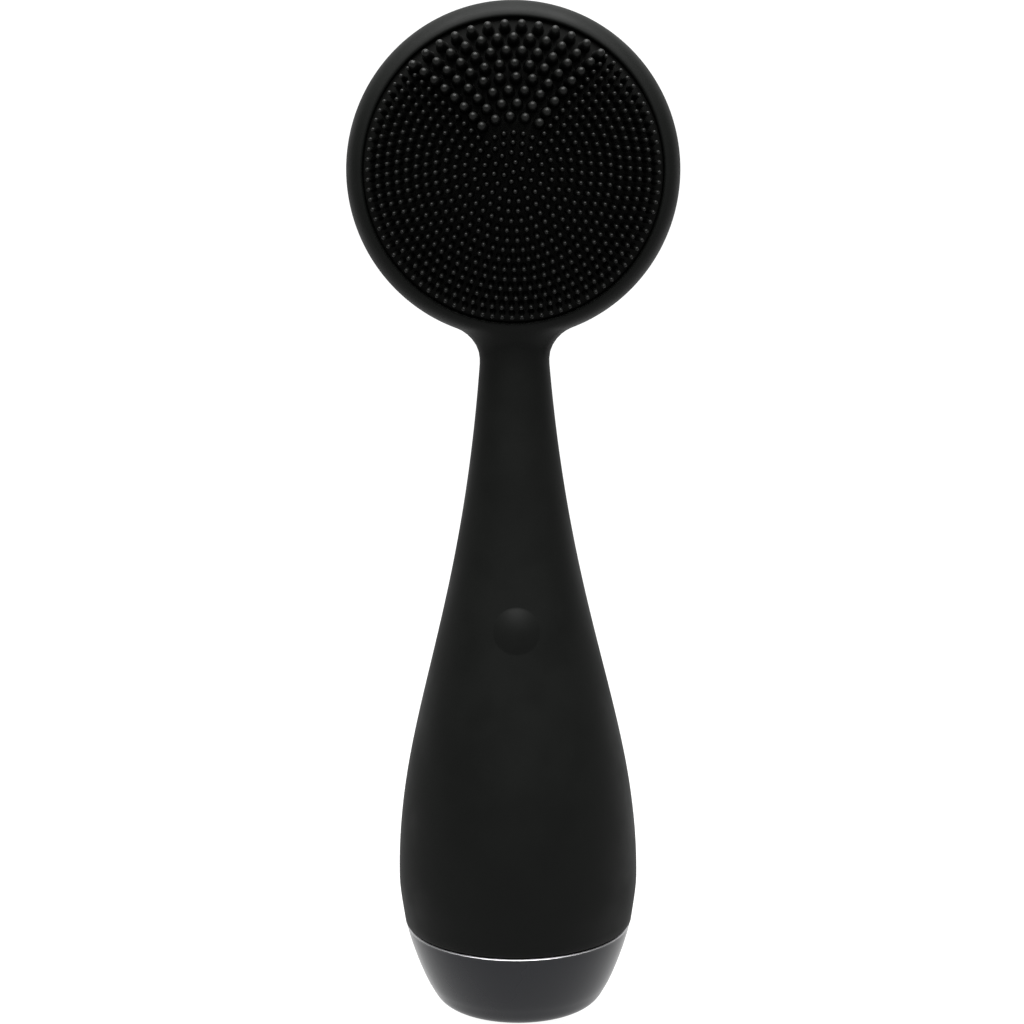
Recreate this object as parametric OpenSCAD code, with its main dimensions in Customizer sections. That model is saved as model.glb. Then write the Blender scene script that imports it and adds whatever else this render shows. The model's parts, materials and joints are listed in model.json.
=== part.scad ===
// Skin scrubber: a battery powered face brush with a round bristle head.
// The origin is the centre of the flat foot, +Z runs up the handle and the bristles face -Y.

/* [Skin] */
// Radius of the handle at its widest
belly_r = 21.4; // [21:0.1:22]
// Height of the widest place
belly_z = 23.6; // [23:0.2:25]
// Radius of the narrowest place of the neck
neck_r = 6.06; // [5.9:0.02:6.4]
// Thickness of the silicone skin
skin_t = 1.5; // [1.3:0.1:1.6]

/* [Head] */
// Radius of the head
head_r = 28.5; // [28:0.1:29]
// Height of the head's centre
head_z = 148.6; // [147.6:0.1:150]
// Distance from the head's middle plane to its front lip
head_front = 7.6; // [7.4:0.1:7.8]
// Distance from the head's middle plane to its back
head_back = 11; // [10.8:0.1:11.5]
// Radius of the concave blend between neck and head
blend_r = 6.8; // [6.4:0.1:7.2]

/* [Bristle pad] */
// Radius of the bristle pad
pad_r = 24.9; // [24.7:0.1:25.1]
// Height of the pad's dome above its edge
pad_rise = 3.3; // [3:0.1:3.5]
// Radial distance from one ring of fine bristles to the next
ring_pitch = 1.575; // [1.5:0.005:1.6]
// Length of a fine bristle
fine_length = 3; // [2.6:0.1:3.4]
// Length of a thick bristle
thick_length = 3.4; // [3:0.1:3.8]

/* [Lower cap] */
// Height of the seam between the cap and the skin
seam_z = 14.9; // [14.7:0.1:15.1]
// Radius of the cap at its top edge
cap_r = 20.2; // [19.9:0.05:20.3]
// Radius of the flat foot
foot_r = 11.5; // [11:0.1:12]
// Axial travel of the cap in one turn
thread_lead = 6; // [6:0.1:6.2]

/* [Button] */
// Place of the button along the handle's curve, from belly (0) to neck (1)
button_place = 0.596; // [0.586:0.001:0.606]
// Radius of the button
button_r = 4; // [3.8:0.1:4.1]
// Height of the button's dome
button_rise = 0.8; // [0.6:0.1:1]

/* [Cell] */
// Radius of the AA cell
cell_r = 7.25; // [7.15:0.05:7.25]
// Length of the AA cell with its raised contact
cell_length = 50.5; // [50:0.1:50.5]

/* [Hidden] */
$fn = 64;

shell_t = 1.6;
inner_inset = skin_t + shell_t;
sheet_t = 0.35;
big = 200;

// The outline of the handle is two cubic curves that meet at the belly.
skin_edge_r = belly_r - 1;
neck_z = head_z - sqrt(pow(head_r + blend_r, 2) - pow(neck_r + blend_r, 2));
foot_curve = [[skin_edge_r, seam_z], [skin_edge_r + 0.45, seam_z + 3.25],
    [belly_r, belly_z - 2.6], [belly_r, belly_z]];
neck_run = 47.2;
neck_slope = 0.082;
handle_curve = [[belly_r, belly_z], [belly_r, belly_z + 29.2],
    [neck_r + neck_slope * neck_run, neck_z - neck_run], [neck_r, neck_z]];

// The pad sits in a round recess in the head.
recess_r = pad_r + 0.4;
seat_front = head_front - 2;
pad_edge_front = head_front - 0.7;
pad_t = 1.6;
plate_t = 1.4;
plate_gap = 0.05;
plate_r = pad_r - 0.8;
dome_r = (pow(pad_r, 2) + pow(pad_rise, 2)) / (2 * pad_rise);
dome_centre = pad_edge_front + pad_rise - dome_r;
peg_r = 1.5;
peg_circle_r = 17;

// Fine bristles stand in rings, and a fan of thick ones takes the top of the outer rings.
ring_count = 15;
whole_rings = 4;
fine_d = 0.8;
thick_d = 1.45;
fan_centre = 93;
fan_gap_half = 42.5;
fan_first_r = 8.9;
fan_row_pitch = 2.085;
fan_counts = [5, 6, 7, 8, 10, 11, 12, 13];
fan_first_half = 31.5;
fan_last_half = 40;

// Cap, thread and collar
cap_top = seam_z - 0.3;
plug_r = 11;
plug_top = seam_z + 7;
plug_base_r = 14;
plug_bore_r = cell_r + 1.2;
plug_floor = 4;
shoulder_z = cap_top - 0.1;
ridge_crest_r = 12;
ridge_root_t = 1.3;
ridge_crest_t = 0.9;
ridge_start_z = seam_z + 1.8;
ridge_sweep = 270;
lug_sweep = 60;
collar_bore_r = 12.4;
collar_r = 15.5;
collar_bottom = seam_z + 0.4;
collar_top = seam_z + 7.8;
flange_r = 16.5;
flange_bottom = seam_z + 4.4;
flange_t = 1.5;
pocket_gap = 0.1;
pocket_top = seam_z + 9.4;

// Cell and its chassis
cell_bottom = 9.5;
cell_top = cell_bottom + cell_length;
nub_r = 2.75;
nub_h = 1;
tube_bore_r = cell_r + 0.35;
tube_r = 8.8;
tube_flange_t = 1.4;
tube_roof_z = cell_top + 0.5;
tube_roof_t = 1.5;
tube_roof_r = 11;
strip_y = tube_r + 0.15;
strip_w = 4;

// Button, switch and board are laid out along the skin's normal at the button.
button_point = bezier(handle_curve, button_place);
button_slope = bezier(handle_curve, button_place + 0.01) - button_point;
button_tilt = atan2(-button_slope[0], button_slope[1]);
button_gap = 0.2;
plunger_r = 2;
plunger_end = -4.2;
stem_r = 1.6;
stem_end = -6;
switch_top = -5.2;
switch_w = 6;
board_front = -8;
board_t = 1;
board_w = 10;
board_low = -6.2;
board_high = 17;
board_post_r = 1.3;
board_posts = [-4.6, 9.5];

// Shell screws
screw_r = 1;
screw_head_r = 1.8;
screw_head_t = 1.3;
screw_length = 7.6;
screw_seat = 4.4;
boss_r = 2.9;
head_boss_circle_r = 20;
handle_boss = [8.8, 65.1];

// Motor, with its shaft along Z
motor_y = 1.6;
motor_bottom = 141;
motor_length = 15;
motor_r = 6;
motor_flat = 10;
motor_wall = 0.5;
shaft_r = 0.5;
shaft_gap = 0.05;
shaft_top = 163;
weight_r = 4.6;
weight_bottom = 157.8;
weight_length = 4.8;
boot_t = 0.55;
boot_bottom = 143;
boot_length = 11;
wire_d = 1.2;

// Point at t on a cubic curve with four control points
function bezier(p, t) = pow(1 - t, 3) * p[0] + 3 * pow(1 - t, 2) * t * p[1]
    + 3 * (1 - t) * pow(t, 2) * p[2] + pow(t, 3) * p[3];

function curve_points(p, steps) = [for (i = [0:steps]) bezier(p, i / steps)];

function moved_in(points, inset) = [for (p = points) [p[0] - inset, p[1]]];

// Faces of a closed mesh through rings of n points each
function ring_mesh_faces(rings, n) = concat(
    [[for (j = [0:n - 1]) j]],
    [for (i = [0:rings - 2], j = [0:n - 1]) [i * n + j, (i + 1) * n + j, i * n + (j + 1) % n]],
    [for (i = [0:rings - 2], j = [0:n - 1])
        [i * n + (j + 1) % n, (i + 1) * n + j, (i + 1) * n + (j + 1) % n]],
    [[for (j = [n - 1:-1:0]) (rings - 1) * n + j]]);

module ring_mesh(rings) {
    polyhedron(points = [for (r = rings, p = r) p],
        faces = ring_mesh_faces(len(rings), len(rings[0])));
}

// Places children with +Z out of the head's face, +Y up and the origin at the head's centre
module on_head() {
    translate([0, 0, head_z]) rotate([90, 0, 0]) children();
}

// Places children with +Z along the skin's outward normal at the button and +Y up the slope
module on_button() {
    translate([0, -button_point[0], button_point[1]]) rotate([90 - button_tilt, 0, 0]) children();
}

module front_half() {
    translate([-big / 2, -big, -1]) cube([big, big, big]);
}

module rear_half() {
    translate([-big / 2, 0, -1]) cube([big, big, big]);
}

// Solid of the handle, with its surface moved in by inset
module handle_solid(inset, bottom) {
    outline = concat([[0, bottom]], [[skin_edge_r - inset, bottom]],
        moved_in(curve_points(foot_curve, 5), inset), moved_in(curve_points(handle_curve, 20), inset),
        [[neck_r - inset, neck_z + 10], [0, neck_z + 10]]);
    above = [for (p = outline) if (p[1] >= bottom) p];
    rotate_extrude() polygon(above);
}

// Concave blend from the neck into the head, which thins out towards the head's rim
module neck_blend(inset) {
    reach = (neck_r + blend_r) * head_r / (head_r + blend_r) - 0.9 - inset / 2;
    low_half = neck_r - inset - 0.9;
    high_half = low_half - 1;
    intersection() {
        translate([0, 0, neck_z]) rotate_extrude() difference() {
            square([reach, blend_r]);
            translate([neck_r + blend_r, 0]) circle(r = blend_r + inset);
        }
        translate([-big / 2, 0, neck_z]) rotate([90, 0, 90]) linear_extrude(big)
            polygon([[-low_half, -1], [low_half, -1], [high_half, blend_r + 1],
                [-high_half, blend_r + 1]]);
    }
}

// Solid of the head: radius r, front lip and back at the given distances
module head_solid(r, front, back) {
    front_curve = [[r - 2.2, front], [r - 0.8, front - 0.4], [r, front - 3.6], [r, 0.5]];
    back_curve = [[r, 0.5], [r, -0.62 * back], [0.7 * r, -back], [0, -back]];
    outline = concat([[0, front]], curve_points(front_curve, 6),
        [for (i = [1:12]) bezier(back_curve, i / 12)]);
    on_head() rotate_extrude($fn = 96) polygon(outline);
}

module skin_solid() {
    handle_solid(0, seam_z);
    neck_blend(0);
    head_solid(head_r, head_front, head_back);
}

module core_solid() {
    handle_solid(skin_t, collar_bottom - 0.1);
    neck_blend(skin_t);
    head_solid(head_r - skin_t, seat_front, head_back - skin_t);
}

module core_cavity() {
    handle_solid(inner_inset, pocket_top);
    neck_blend(inner_inset);
    head_solid(head_r - inner_inset, seat_front - shell_t, head_back - inner_inset);
    cylinder(r = collar_r + pocket_gap, h = pocket_top + 0.1);
    translate([0, 0, flange_bottom - pocket_gap])
        cylinder(r = flange_r + pocket_gap, h = flange_t + 2 * pocket_gap);
}

module silicone_sleeve() {
    color([0.11, 0.115, 0.11]) difference() {
        skin_solid();
        core_solid();
        translate([0, 0, seam_z - 1]) cylinder(r = skin_edge_r - skin_t, h = 2);
        on_head() translate([0, 0, seat_front]) cylinder(r = recess_r, h = 10, $fn = 96);
        on_button() translate([0, 0, -3]) cylinder(r = button_r + button_gap, h = 6);
    }
}

// A round-ended bristle that stands on z = 0 and is rooted a little below it
module bristle(d, length) {
    root = 0.5;
    translate([0, 0, -root]) cylinder(d = d, h = length + root - d / 2, $fn = 24);
    translate([0, 0, length - d / 2]) sphere(d = d, $fn = 24);
}

// Places children on the dome, standing along its normal
module on_dome(radius, angle) {
    on_head() translate([0, 0, dome_centre]) rotate([0, 0, angle])
        rotate([0, asin(radius / dome_r), 0]) translate([0, 0, dome_r]) children();
}

// One ring of fine bristles, drawn as a round-topped ridge of the bristles' height
module fine_ring(radius, start, sweep) {
    on_head() translate([0, 0, dome_centre]) rotate([0, 0, start])
        rotate_extrude(angle = sweep) rotate(-asin(radius / dome_r)) translate([0, dome_r]) {
            translate([-fine_d / 2, -0.5]) square([fine_d, fine_length + 0.5 - fine_d / 2]);
            translate([0, fine_length - fine_d / 2]) circle(d = fine_d, $fn = 24);
        }
}

module thick_fan() {
    rows = len(fan_counts);
    for (row = [0:rows - 1]) {
        half = fan_first_half + (fan_last_half - fan_first_half) * row / (rows - 1);
        last = fan_counts[row] - 1;
        for (i = [0:last])
            on_dome(fan_first_r + row * fan_row_pitch, fan_centre - half + 2 * half * i / last)
                bristle(thick_d, thick_length);
    }
}

// Everything under the dome of the given radius, from the seat out to radius r
module dome_solid(r, radius) {
    on_head() rotate_extrude($fn = 96) intersection() {
        translate([0, dome_centre]) circle(r = radius, $fn = 720);
        translate([0, seat_front]) square([r, 20]);
    }
}

module brush_pad() {
    color([0.07, 0.07, 0.07]) union() {
        difference() {
            dome_solid(pad_r, dome_r);
            dome_solid(plate_r, dome_r - pad_t);
        }
        for (ring = [1:ring_count])
            fine_ring(ring * ring_pitch, ring <= whole_rings ? 0 : fan_centre + fan_gap_half,
                ring <= whole_rings ? 360 : 360 - 2 * fan_gap_half);
        on_dome(0, 0) bristle(fine_d, fine_length);
        thick_fan();
    }
}

module pegs(r, from, to) {
    on_head() for (a = [0:90:270])
        rotate([0, 0, a]) translate([peg_circle_r, 0, from]) cylinder(r = r, h = to - from);
}

module pad_backing_plate() {
    color([0.25, 0.25, 0.26]) difference() {
        union() {
            difference() {
                dome_solid(plate_r - plate_gap, dome_r - pad_t - plate_gap);
                dome_solid(plate_r - plate_t, dome_r - pad_t - plate_t);
            }
            pegs(peg_r, seat_front - shell_t - 0.5, seat_front + 1);
        }
        pegs(peg_r / 3, seat_front - shell_t - 1, seat_front - shell_t + 0.5);
    }
}

// Places children at each shell screw, with +Z towards the back and the parting plane at z = 0
module at_screws() {
    for (a = [45:90:315])
        translate([head_boss_circle_r * cos(a), 0, head_z + head_boss_circle_r * sin(a)])
            rotate([-90, 0, 0]) children();
    for (side = [-1, 1])
        translate([side * handle_boss[0], 0, handle_boss[1]]) rotate([-90, 0, 0]) children();
}

// Ribs either side of the motor's boot
module motor_ribs() {
    for (side = [-1, 1])
        translate([side * (motor_r + boot_t + 0.75) - 0.6, -big / 2, boot_bottom])
            cube([1.2, big, boot_length]);
    for (z = [boot_bottom - 1.3, boot_bottom + boot_length + 0.1])
        for (side = [-1, 1])
            translate([side * 5.9 - 2, -big / 2, z]) cube([4, big, 1.2]);
}

module motor_space() {
    translate([-motor_r - 0.1, motor_y - motor_flat / 2 - 0.1, motor_bottom - 6])
        cube([2 * motor_r + 0.2, motor_flat + 0.2, 40]);
}

// Both shells share this body; bosses and ribs are cut to the core's outer form
module shell_body() {
    difference() {
        core_solid();
        core_cavity();
    }
    intersection() {
        core_solid();
        at_screws() translate([0, 0, -big / 2]) cylinder(r = boss_r, h = big);
    }
    difference() {
        intersection() {
            core_solid();
            motor_ribs();
        }
        motor_space();
    }
}

module front_shell() {
    color([0.82, 0.83, 0.84]) difference() {
        union() {
            intersection() {
                shell_body();
                front_half();
            }
            intersection() {
                core_solid();
                on_button() for (v = board_posts)
                    translate([0, v, board_front]) cylinder(r = board_post_r, h = 12);
            }
        }
        at_screws() translate([0, 0, -screw_length + screw_seat - 0.3])
            cylinder(r = screw_r + 0.02, h = screw_length);
        on_button() {
            translate([0, 0, -6]) cylinder(r = plunger_r + 0.3, h = 12);
            translate([0, 0, -2.2]) cylinder(r = button_r + 0.4, h = 8);
            for (v = board_posts)
                translate([0, v, board_front - 0.1]) cylinder(r = 0.6, h = 3.3, $fn = 24);
        }
        pegs(peg_r + 0.1, seat_front - shell_t - 1, seat_front + 1);
    }
}

module rear_shell() {
    color([0.82, 0.83, 0.84]) difference() {
        intersection() {
            shell_body();
            rear_half();
        }
        at_screws() {
            translate([0, 0, -1]) cylinder(r = screw_r + 0.1, h = 20);
            translate([0, 0, screw_seat]) cylinder(r = screw_head_r + 0.2, h = 20);
        }
    }
}

module shell_screws() {
    color([0.7, 0.7, 0.72]) at_screws() difference() {
        union() {
            translate([0, 0, screw_seat - screw_length]) cylinder(r = screw_r, h = screw_length + 0.1);
            translate([0, 0, screw_seat]) cylinder(r = screw_head_r, h = screw_head_t);
        }
        for (a = [0, 90])
            rotate([0, 0, a]) translate([-1.1, -0.25, screw_seat + 0.6]) cube([2.2, 0.5, 2]);
    }
}

// Slot that lets the negative strip pass the chassis flanges
module strip_slot() {
    translate([-strip_w / 2 - 0.3, strip_y - 0.1, collar_top - 1])
        cube([strip_w + 0.6, sheet_t + 0.25, big]);
}

module battery_tube() {
    rib_bottom = collar_top + tube_flange_t;
    color([0.93, 0.93, 0.9]) difference() {
        union() {
            translate([0, 0, collar_top]) cylinder(r = tube_r, h = tube_roof_z + tube_roof_t - collar_top);
            translate([0, 0, collar_top]) cylinder(r = collar_r - 0.1, h = tube_flange_t);
            translate([0, 0, tube_roof_z]) cylinder(r = tube_roof_r, h = tube_roof_t);
            for (a = [45:90:315])
                rotate([0, 0, a]) translate([0, 0.6, rib_bottom - 0.1]) rotate([90, 0, 0])
                    linear_extrude(1.2) polygon([[tube_r - 0.5, 0], [collar_r - 1.5, 0], [tube_r - 0.5, 9]]);
        }
        translate([0, 0, collar_top - 1]) cylinder(r = tube_bore_r, h = tube_roof_z - collar_top + 1);
        strip_slot();
        translate([2.3, -1.4, tube_roof_z - 1]) cube([1, 2.8, 4]);
    }
}

// Closed mesh of one thread ridge that climbs counter-clockwise at the thread's lead
module helical_ridge(root_r, crest_r, root_t, crest_t, start_z, sweep) {
    steps = ceil(sweep / 12);
    side = sign(crest_r - root_r) / 2;
    section = [[root_r, -side * root_t], [root_r, side * root_t],
        [crest_r, side * crest_t], [crest_r, -side * crest_t]];
    ring_mesh([for (i = [0:steps])
        let (a = sweep * i / steps, z = start_z + thread_lead * a / 360)
        [for (p = section) [p[0] * cos(a), p[0] * sin(a), z + p[1]]]]);
}

module threaded_collar() {
    color([0.3, 0.31, 0.33]) union() {
        difference() {
            union() {
                translate([0, 0, collar_bottom]) cylinder(r = collar_r, h = collar_top - collar_bottom);
                translate([0, 0, flange_bottom]) cylinder(r = flange_r, h = flange_t);
            }
            translate([0, 0, collar_bottom - 1]) cylinder(r = collar_bore_r, h = 12);
        }
        for (a = [0, 180])
            rotate([0, 0, a]) helical_ridge(collar_bore_r + 0.4, collar_bore_r - 1.05, ridge_root_t,
                ridge_crest_t - 0.1, ridge_start_z + thread_lead / 4, lug_sweep);
    }
}

module battery_cell() {
    color([0.75, 0.5, 0.2]) {
        translate([0, 0, cell_bottom]) cylinder(r = cell_r, h = cell_length - nub_h);
        translate([0, 0, cell_top - nub_h - 0.1]) cylinder(r = nub_r, h = nub_h + 0.1);
    }
}

module positive_contact() {
    color([0.85, 0.8, 0.6]) {
        translate([0, 0, cell_top + 0.08]) cylinder(r = 6.2, h = sheet_t);
        translate([2.6, -1, cell_top + 0.1]) cube([sheet_t, 2, 4.5]);
    }
}

module negative_strip() {
    foot_z = plug_top + 2 * sheet_t - 0.3;
    color([0.85, 0.8, 0.6]) {
        translate([-strip_w / 2, strip_y, foot_z]) cube([strip_w, sheet_t, tube_roof_z + 3 - foot_z]);
        translate([-strip_w / 2, strip_y - 0.6, foot_z]) cube([strip_w, 0.7, sheet_t - 0.05]);
    }
}

function unit(v) = v / norm(v);

// Eight-sided wire through the points, none of whose runs lies along X
module wire(points) {
    last = len(points) - 1;
    ring_mesh([for (i = [0:last])
        let (along = unit(points[min(i + 1, last)] - points[max(i - 1, 0)]),
            across = unit(cross(along, [1, 0, 0])),
            up = cross(along, across))
        [for (j = [0:7])
            points[i] + wire_d / 2 * (across * cos(45 * j) - up * sin(45 * j))]]);
}

module battery_wire_red() {
    color("firebrick") wire([[3.56, 0, 64], [3.6, -1.2, 66.4], [3.6, -3.5, 68.6]]);
}

module battery_wire_black() {
    color([0.08, 0.08, 0.08]) wire([[0, 8.3, 62.8], [0, 7, 66], [-3.5, -1, 67.6], [-3.6, -3.5, 68.6]]);
}

module circuit_board() {
    color("darkgreen") on_button() difference() {
        translate([-board_w / 2, board_low, board_front - board_t])
            cube([board_w, board_high - board_low, board_t]);
        for (v = board_posts)
            translate([0, v, board_front - 2]) cylinder(r = 0.7, h = 4, $fn = 24);
    }
}

module board_screws() {
    color([0.7, 0.7, 0.72]) on_button() for (v = board_posts) translate([0, v, 0]) {
        translate([0, 0, board_front - board_t]) cylinder(r = 0.58, h = 3.6, $fn = 24);
        translate([0, 0, board_front - board_t - 0.7]) cylinder(r = 1.2, h = 0.7, $fn = 24);
    }
}

module controller_chip() {
    color([0.1, 0.1, 0.1]) on_button() translate([-2, 0, board_front - board_t - 0.9]) cube([4, 4, 0.9]);
}

module boost_coil() {
    coil_t = 2;
    color([0.3, 0.3, 0.3]) on_button() translate([0, 13.4, board_front - board_t - coil_t]) {
        cylinder(r = 1.5, h = coil_t);
        cylinder(r = 2.1, h = 0.4);
        translate([0, 0, coil_t - 0.4]) cylinder(r = 2.1, h = 0.4);
    }
}

module filter_capacitor() {
    color("tan") on_button() translate([-3.9, 5.8, board_front - board_t - 1]) cube([2.4, 1.4, 1]);
}

module switch_body() {
    color([0.55, 0.56, 0.58]) on_button() difference() {
        translate([-switch_w / 2, -switch_w / 2, board_front])
            cube([switch_w, switch_w, switch_top - board_front]);
        translate([0, 0, stem_end - 0.7]) cylinder(r = stem_r + 0.08, h = 4);
    }
}

module switch_stem() {
    color([0.15, 0.15, 0.15]) on_button() translate([0, 0, stem_end])
        cylinder(r = stem_r, h = plunger_end - 0.05 - stem_end);
}

module button_cap() {
    skirt_bottom = -1.4;
    skirt_top = -0.3;
    dome = button_rise - 0.1 - skirt_top;
    cap_dome_r = (pow(button_r, 2) + pow(dome, 2)) / (2 * dome);
    color([0.12, 0.125, 0.12]) on_button() {
        translate([0, 0, skirt_bottom]) cylinder(r = button_r, h = skirt_top - skirt_bottom);
        translate([0, 0, plunger_end]) cylinder(r = plunger_r, h = skirt_bottom - plunger_end + 0.2);
        intersection() {
            translate([0, 0, skirt_top + dome - cap_dome_r]) sphere(r = cap_dome_r, $fn = 96);
            translate([0, 0, skirt_top - 0.1]) cylinder(r = button_r, h = 3);
        }
    }
}

// The motor's outer form: a round can with two flats
module motor_form(inset, bottom, length) {
    intersection() {
        translate([0, motor_y, bottom]) cylinder(r = motor_r - inset, h = length);
        translate([-big / 2, motor_y - motor_flat / 2 + inset, bottom])
            cube([big, motor_flat - 2 * inset, length]);
    }
}

module shaft_hole() {
    translate([0, motor_y, motor_bottom - 5]) cylinder(r = shaft_r + shaft_gap, h = 40, $fn = 32);
}

module motor_can() {
    color([0.75, 0.76, 0.78]) difference() {
        union() {
            motor_form(0, motor_bottom, motor_length);
            translate([0, motor_y, motor_bottom + motor_length - 0.1]) cylinder(r = 1.75, h = 1.1);
        }
        motor_form(motor_wall, motor_bottom - 1, motor_length + 1 - motor_wall);
        shaft_hole();
    }
}

module motor_magnets() {
    color([0.25, 0.24, 0.26]) intersection() {
        difference() {
            motor_form(motor_wall + 0.02, motor_bottom + 2.5, 10);
            translate([0, motor_y, motor_bottom]) cylinder(r = 4, h = 20);
        }
        for (side = [-1, 1])
            translate([side * 4.5 - 1.9, motor_y - 3.4, motor_bottom]) cube([3.8, 6.8, 20]);
    }
}

module motor_end_cap() {
    color([0.9, 0.9, 0.88]) difference() {
        union() {
            motor_form(0, motor_bottom - 1.2, 1.2);
            motor_form(motor_wall + 0.02, motor_bottom - 0.1, 1.3);
        }
        shaft_hole();
    }
}

module motor_terminals() {
    color([0.85, 0.8, 0.6]) for (side = [-1, 1])
        translate([side * 3 - 0.2, motor_y - 0.8, motor_bottom - 3.6]) cube([0.4, 1.6, 2.4]);
}

module motor_boot() {
    color([0.2, 0.2, 0.22]) difference() {
        motor_form(-boot_t, boot_bottom, boot_length);
        motor_form(-0.02, boot_bottom - 1, boot_length + 2);
    }
}

module motor_shaft() {
    color([0.8, 0.8, 0.82]) translate([0, motor_y, motor_bottom - 0.8])
        cylinder(r = shaft_r, h = shaft_top - motor_bottom + 0.8, $fn = 32);
}

// Three-pole armature with its commutator, on the shaft
module motor_armature() {
    color([0.72, 0.42, 0.2]) translate([0, motor_y, motor_bottom + 1.7]) difference() {
        union() {
            cylinder(r = 1.3, h = 2);
            translate([0, 0, 1.3]) cylinder(r = 3.6, h = 9);
        }
        for (a = [0:120:240])
            rotate([0, 0, a]) translate([1.9, -0.5, 1]) cube([3, 1, 12]);
        translate([0, 0, -1]) cylinder(r = shaft_r, h = 20, $fn = 32);
    }
}

module eccentric_weight() {
    color([0.45, 0.46, 0.48]) translate([0, motor_y, weight_bottom]) difference() {
        union() {
            cylinder(r = 1.7, h = weight_length);
            intersection() {
                cylinder(r = weight_r, h = weight_length);
                translate([-weight_r, 0, 0]) cube([2 * weight_r, weight_r, weight_length]);
            }
        }
        translate([0, 0, -1]) cylinder(r = shaft_r, h = weight_length + 2, $fn = 32);
    }
}

// A motor lead runs from the board's top, up the neck and out to one terminal
module motor_lead(side) {
    wire([[side * 2.2, 1.9, 84.3], [side * 2.2, 1.9, 88], [side, 0.6, 98], [side, 0.6, 124],
        [side * 3.9, motor_y, 134], [side * 3.9, motor_y, motor_bottom - 2]]);
}

module motor_wire_red() {
    color("firebrick") motor_lead(1);
}

module motor_wire_black() {
    color([0.08, 0.08, 0.08]) motor_lead(-1);
}

// Outline of the cap: flat foot, rounded edge, flaring side and a bevelled top edge
module cap_shell() {
    bevel = 0.35;
    round_top = [16.2, 3.4];
    round_curve = [[foot_r, 0], [foot_r + 3.1, 0], [round_top[0] - 0.95, 1.1], round_top];
    side_curve = [round_top, round_top + [1.3, 1.9], [cap_r - 0.7, cap_top - bevel - 3.1],
        [cap_r, cap_top - bevel]];
    outline = concat([[0, 0]], curve_points(round_curve, 8),
        [for (i = [1:8]) bezier(side_curve, i / 8)], [[cap_r - bevel, cap_top], [0, cap_top]]);
    color([0.24, 0.25, 0.27]) difference() {
        rotate_extrude($fn = 96) polygon(outline);
        translate([0, 0, plug_floor - 1.6]) cylinder(r = plug_base_r + 0.03, h = 20);
    }
}

module cap_plug() {
    base_z = plug_floor - 1.57;
    color([0.3, 0.31, 0.33]) union() {
        difference() {
            union() {
                translate([0, 0, base_z]) cylinder(r = plug_base_r, h = shoulder_z - base_z);
                translate([0, 0, shoulder_z - 1]) cylinder(r = plug_r, h = plug_top - shoulder_z + 1);
            }
            translate([0, 0, plug_floor]) cylinder(r = plug_bore_r, h = 20);
        }
        for (a = [0, 180])
            rotate([0, 0, a]) helical_ridge(plug_r - 0.4, ridge_crest_r, ridge_root_t, ridge_crest_t,
                ridge_start_z, ridge_sweep);
    }
}

module cap_o_ring() {
    color([0.6, 0.15, 0.1]) translate([0, 0, (shoulder_z + collar_bottom) / 2])
        rotate_extrude() translate([13.2, 0]) circle(r = (collar_bottom - shoulder_z) / 2 - 0.02, $fn = 24);
}

// Ring on the plug's top, a leg down its bore and a disc under the spring, in one stamping
module cap_contact() {
    leg_y = plug_bore_r - 0.55;
    color([0.85, 0.8, 0.6]) {
        translate([0, 0, plug_top]) difference() {
            cylinder(r = plug_r - 0.6, h = sheet_t);
            translate([0, 0, -1]) cylinder(r = plug_bore_r - 0.5, h = 3);
        }
        translate([-1.5, -leg_y - sheet_t, plug_floor]) cube([3, sheet_t, plug_top + 0.2 - plug_floor]);
        translate([0, 0, plug_floor]) cylinder(r = leg_y + sheet_t / 2, h = sheet_t);
    }
}

module contact_spring() {
    turns = 4;
    wire_r = 0.35;
    coil_r = 5;
    low = plug_floor + sheet_t + wire_r;
    rise = cell_bottom - 0.05 - wire_r - low;
    steps = turns * 18;
    color([0.78, 0.79, 0.8]) ring_mesh([for (i = [0:steps])
        let (a = 360 * turns * i / steps, z = low + rise * i / steps)
        [for (j = [0:5])
            let (r = coil_r - wire_r * cos(60 * j))
            [r * cos(a), r * sin(a), z + wire_r * sin(60 * j)]]]);
}

silicone_sleeve();
brush_pad();
pad_backing_plate();
front_shell();
rear_shell();
shell_screws();
battery_tube();
threaded_collar();
battery_cell();
positive_contact();
negative_strip();
battery_wire_red();
battery_wire_black();
circuit_board();
board_screws();
controller_chip();
boost_coil();
filter_capacitor();
switch_body();
switch_stem();
button_cap();
motor_can();
motor_magnets();
motor_end_cap();
motor_terminals();
motor_boot();
motor_shaft();
motor_armature();
eccentric_weight();
motor_wire_red();
motor_wire_black();
cap_shell();
cap_plug();
cap_o_ring();
cap_contact();
contact_spring();
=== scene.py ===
"""Looks of the skin scrubber: silicone skin, bristle pad, button membrane and glossy cap.

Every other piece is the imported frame's own mesh. Lengths are in millimetres until make_object()
turns them into metres.
"""

import json
import math

import bmesh
import bpy
import numpy as np
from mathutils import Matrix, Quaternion, Vector


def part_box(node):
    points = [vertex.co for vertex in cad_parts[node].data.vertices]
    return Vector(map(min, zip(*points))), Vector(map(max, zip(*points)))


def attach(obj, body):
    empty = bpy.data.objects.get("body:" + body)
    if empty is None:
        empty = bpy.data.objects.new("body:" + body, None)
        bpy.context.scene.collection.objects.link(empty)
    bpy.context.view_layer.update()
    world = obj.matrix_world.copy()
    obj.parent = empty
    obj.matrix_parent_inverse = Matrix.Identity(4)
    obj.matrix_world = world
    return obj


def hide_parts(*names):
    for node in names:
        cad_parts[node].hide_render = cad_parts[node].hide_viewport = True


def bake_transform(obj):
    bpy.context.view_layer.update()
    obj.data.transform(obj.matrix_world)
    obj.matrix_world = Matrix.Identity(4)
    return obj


MM = 0.001

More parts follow.
